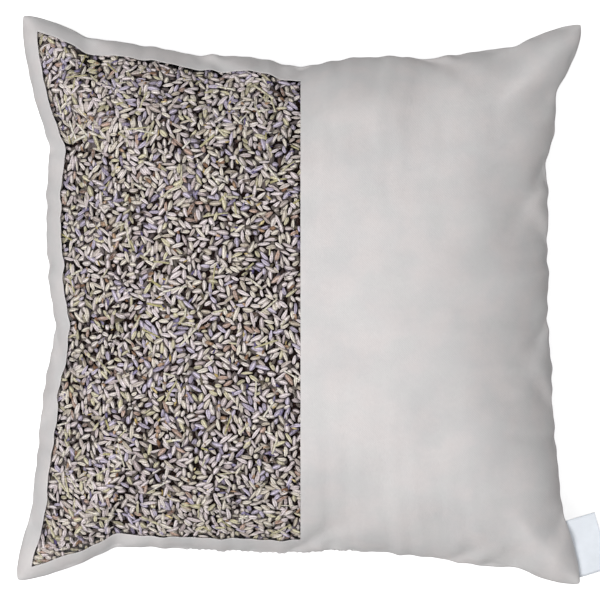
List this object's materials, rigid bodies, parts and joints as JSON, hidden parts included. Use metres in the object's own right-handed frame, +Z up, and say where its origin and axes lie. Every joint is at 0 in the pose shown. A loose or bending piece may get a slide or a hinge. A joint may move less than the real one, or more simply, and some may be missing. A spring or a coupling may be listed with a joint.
{
  "type": "lavender sachet",
  "caption": "Square, plump cotton cushion filled with dried lavender, with a net window over the left half of its front and a folded side label.",
  "frame": {"origin": "middle of the flat patch under the back panel on which the sachet lies", "axes": "+Z up out of the front face, +Y towards the top edge, +X towards the plain half and the label's side"},
  "size_m": [0.2944, 0.2801, 0.0941],
  "materials": {
    "cotton": "fine matt cotton weave, pale warm grey",
    "net": "sheer net, nearly invisible",
    "thread": "spun sewing thread, pale grey",
    "lavender": "dried lavender buds, grey-lilac and grey-green",
    "ribbon": "smooth white satin ribbon, bare"
  },
  "bodies": {
    "cushion": {"front_panel": "cotton", "back_panel": "cotton", "window_net": "net", "window_tape": "cotton", "seam_overlock": "thread", "closing_stitches": "thread", "lavender_filling": "lavender", "label_tail": "ribbon"},
    "label": {"label_flap": "ribbon"}
  },
  "joints": [
    {"name": "label_fold", "type": "hinge", "parent": "cushion", "child": "label", "pos_m": [0.13782, -0.12488, 0.0322], "axis": [0.1725, -0.976, -0.1331], "range_deg": [-90, 90], "stiffness_Nm_per_rad": 0.0005}
  ]
}
